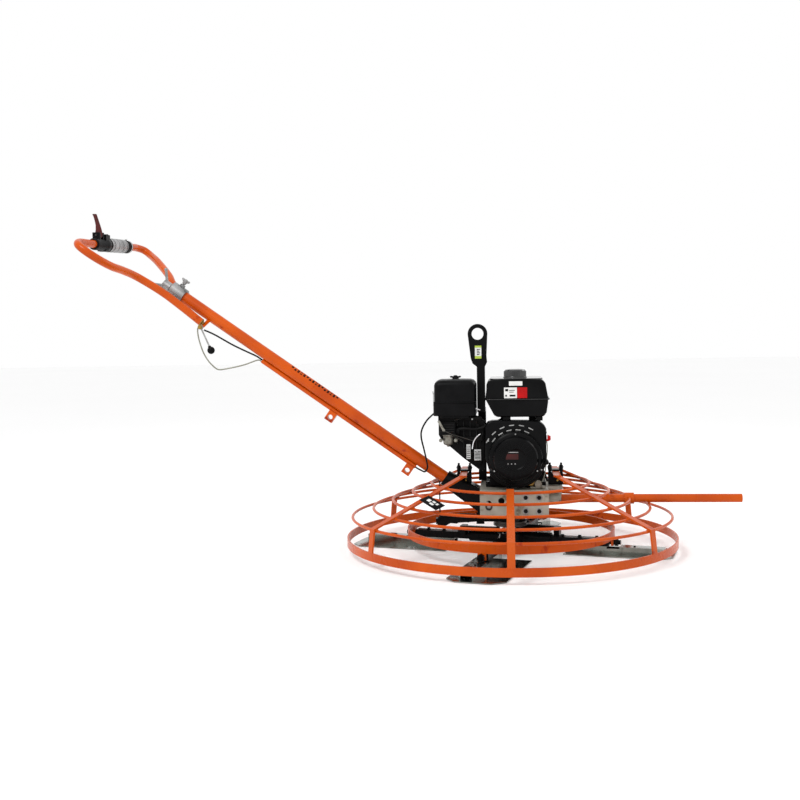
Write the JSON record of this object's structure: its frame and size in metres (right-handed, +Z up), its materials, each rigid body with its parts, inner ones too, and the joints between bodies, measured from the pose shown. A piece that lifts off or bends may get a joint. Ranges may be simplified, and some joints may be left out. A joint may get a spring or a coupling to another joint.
{
  "type": "power trowel",
  "caption": "Walk-behind petrol power trowel: pitchable blades turning inside a guard of rings, a small engine on a worm gearbox, and a long tube handle with a loop handlebar.",
  "frame": {"origin": "on the rotor axis at the level of the blades' working faces", "axes": "+X forward, away from the operator, along the lifting tube; +Y to the engine's drive side; +Z up"},
  "size_m": [2.2873, 1.17, 1.2198],
  "materials": {
    "orange_paint": "powder-coated orange",
    "black_paint": "semi-gloss black",
    "cast_black": "painted casting",
    "zinc_plate": "zinc plated, dull",
    "machined_steel": "machined",
    "blade_steel": "rolled spring steel",
    "bronze": "bearing bronze",
    "brass": "turned",
    "carb_metal": "die cast",
    "black_plastic": "moulded",
    "grip_rubber": "black with grey bands",
    "belt_rubber": "V-belt",
    "cable_sheath": "cable outer",
    "red_plastic": "moulded",
    "lever_red": "dark red",
    "lever_steel": "plated rod with a black ball",
    "dark_bolts": "black oxide",
    "muffler_steel": "heat-resistant black"
  },
  "bodies": {
    "chassis": {"guard_ring": "orange_paint", "guard_rods": "orange_paint", "guard_spokes": "orange_paint", "engine_base": "zinc_plate", "gearbox_housing": "cast_black", "gearbox_cover": "cast_black", "bearings": "machined_steel", "oil_plugs": "brass", "drive_belt": "belt_rubber", "belt_guard": "black_paint", "lifting_bail": "black_paint", "lift_tube": "orange_paint", "handle_bracket": "black_paint", "front_bracket": "black_paint", "handle_tube": "orange_paint", "handle_collar": "zinc_plate", "pitch_cable": "cable_sheath", "handlebar": "orange_paint", "handle_grip": "grip_rubber", "deadman_housing": "black_plastic", "cable_conduit": "orange_paint", "control_cables": "cable_sheath", "crankcase": "cast_black", "cylinder": "cast_black", "fan_cover": "black_paint", "recoil_cover": "black_paint", "fuel_tank": "black_paint", "air_cleaner_base": "black_plastic", "air_cleaner_cover": "black_plastic", "carburetor": "carb_metal", "muffler": "muffler_steel", "bolts": "dark_bolts"},
    "rotor": {"output_shaft": "machined_steel", "worm_wheel": "bronze", "spider": "black_paint", "stabilizer_ring": "orange_paint"},
    "worm": {"worm_shaft": "machined_steel", "input_pulley": "machined_steel"},
    "clutch": {"clutch_drum": "machined_steel"},
    "crank": {"crankshaft": "machined_steel"},
    "pitch_wheel": {"pitch_wheel": "zinc_plate"},
    "pitch_nut": {"pitch_nut": "bronze"},
    "yoke": {"yoke": "black_paint"},
    "thrust_collar": {"thrust_collar": "machined_steel"},
    "wear_plate": {"wear_plate": "machined_steel"},
    "blade_unit_1": {"arm_1": "black_paint", "blade_1": "blade_steel"},
    "blade_unit_2": {"arm_2": "black_paint", "blade_2": "blade_steel"},
    "blade_unit_3": {"arm_3": "black_paint", "blade_3": "blade_steel"},
    "blade_unit_4": {"arm_4": "black_paint", "blade_4": "blade_steel"},
    "deadman_lever": {"deadman_lever": "lever_red"},
    "throttle_lever": {"throttle_lever": "lever_steel"},
    "collar_screw": {"collar_screw": "zinc_plate"},
    "fuel_cap": {"fuel_cap": "black_plastic"},
    "engine_switch": {"engine_switch": "red_plastic"},
    "choke_lever": {"choke_lever": "carb_metal"},
    "recoil_grip": {"recoil_grip": "black_plastic"}
  },
  "joints": [
    {"name": "rotor_spin", "type": "hinge", "parent": "chassis", "child": "rotor", "pos_m": [0, 0, 0.04], "axis": [0, 0, 1], "continuous": true},
    {"name": "worm_turn", "type": "hinge", "parent": "chassis", "child": "worm", "pos_m": [0.07, 0, 0.17], "axis": [0, 1, 0], "continuous": true},
    {"name": "clutch_turn", "type": "hinge", "parent": "chassis", "child": "clutch", "pos_m": [0.02, 0.188, 0.342], "axis": [0, 1, 0], "continuous": true},
    {"name": "crank_turn", "type": "hinge", "parent": "chassis", "child": "crank", "pos_m": [0.02, 0, 0.342], "axis": [0, 1, 0], "continuous": true},
    {"name": "pitch_wheel_turn", "type": "hinge", "parent": "chassis", "child": "pitch_wheel", "pos_m": [-1.22711, 0, 0.9556], "axis": [-0.8177, 0, 0.5756], "range_deg": [0, 1080]},
    {"name": "pitch_nut_slide", "type": "slide", "parent": "chassis", "child": "pitch_nut", "axis": [-0.8177, 0, 0.5756], "range_m": [0, 0.01115]},
    {"name": "yoke_tilt", "type": "hinge", "parent": "chassis", "child": "yoke", "pos_m": [-0.105, 0, 0.112], "axis": [0, 1, 0], "range_deg": [0, 4.35]},
    {"name": "thrust_collar_slide", "type": "slide", "parent": "chassis", "child": "thrust_collar", "axis": [0, 0, -1], "range_m": [0, 0.00797]},
    {"name": "wear_plate_slide", "type": "slide", "parent": "rotor", "child": "wear_plate", "axis": [0, 0, -1], "range_m": [0, 0.00797]},
    {"name": "blade_pitch_1", "type": "hinge", "parent": "rotor", "child": "blade_unit_1", "pos_m": [-0.05176, -0.19318, 0.04], "axis": [0.2588, 0.9659, 0], "range_deg": [0, 12]},
    {"name": "blade_pitch_2", "type": "hinge", "parent": "rotor", "child": "blade_unit_2", "pos_m": [0.19318, -0.05176, 0.04], "axis": [-0.9659, 0.2588, 0], "range_deg": [0, 12]},
    {"name": "blade_pitch_3", "type": "hinge", "parent": "rotor", "child": "blade_unit_3", "pos_m": [0.05176, 0.19318, 0.04], "axis": [-0.2588, -0.9659, 0], "range_deg": [0, 12]},
    {"name": "blade_pitch_4", "type": "hinge", "parent": "rotor", "child": "blade_unit_4", "pos_m": [-0.19318, 0.05176, 0.04], "axis": [0.9659, -0.2588, 0], "range_deg": [0, 12]},
    {"name": "deadman_squeeze", "type": "hinge", "parent": "chassis", "child": "deadman_lever", "pos_m": [-1.45411, -0.1, 1.14281], "axis": [0, 1, 0], "range_deg": [0, 30], "stiffness_Nm_per_rad": 1, "springref_deg": -17.19},
    {"name": "throttle_swing", "type": "hinge", "parent": "chassis", "child": "throttle_lever", "pos_m": [-1.09985, -0.062, 0.80977], "axis": [0, 1, 0], "range_deg": [-25, 35]},
    {"name": "collar_screw_turn", "type": "hinge", "parent": "chassis", "child": "collar_screw", "pos_m": [-1.16823, 0, 0.98019], "axis": [0.5756, 0, 0.8177], "range_deg": [0, 720]},
    {"name": "fuel_cap_turn", "type": "hinge", "parent": "chassis", "child": "fuel_cap", "pos_m": [0.022, -0.025, 0.614], "axis": [0, 0, 1], "range_deg": [0, 90]},
    {"name": "engine_switch_turn", "type": "hinge", "parent": "chassis", "child": "engine_switch", "pos_m": [0.13, -0.14, 0.408], "axis": [1, 0, 0], "range_deg": [0, 45]},
    {"name": "choke_turn", "type": "hinge", "parent": "chassis", "child": "choke_lever", "pos_m": [-0.226, -0.14, 0.438], "axis": [0, 1, 0], "range_deg": [0, 45]},
    {"name": "recoil_pull", "type": "slide", "parent": "chassis", "child": "recoil_grip", "axis": [1, 0, 0], "range_m": [0, 0.11], "stiffness_N_per_m": 20, "springref_m": -0.05}
  ],
  "couplings": [
    {"joint": "worm_turn", "follows": "rotor_spin", "ratio": -20},
    {"joint": "clutch_turn", "follows": "rotor_spin", "ratio": -28.6},
    {"joint": "pitch_nut_slide", "follows": "pitch_wheel_turn", "m_per_rad": 0.00059111},
    {"joint": "yoke_tilt", "follows": "pitch_wheel_turn", "ratio": 0.0040212},
    {"joint": "thrust_collar_slide", "follows": "pitch_wheel_turn", "m_per_rad": 0.00042222},
    {"joint": "wear_plate_slide", "follows": "pitch_wheel_turn", "m_per_rad": 0.00042222},
    {"joint": "blade_pitch_1", "follows": "pitch_wheel_turn", "ratio": 0.011111},
    {"joint": "blade_pitch_2", "follows": "pitch_wheel_turn", "ratio": 0.011111},
    {"joint": "blade_pitch_3", "follows": "pitch_wheel_turn", "ratio": 0.011111},
    {"joint": "blade_pitch_4", "follows": "pitch_wheel_turn", "ratio": 0.011111}
  ]
}
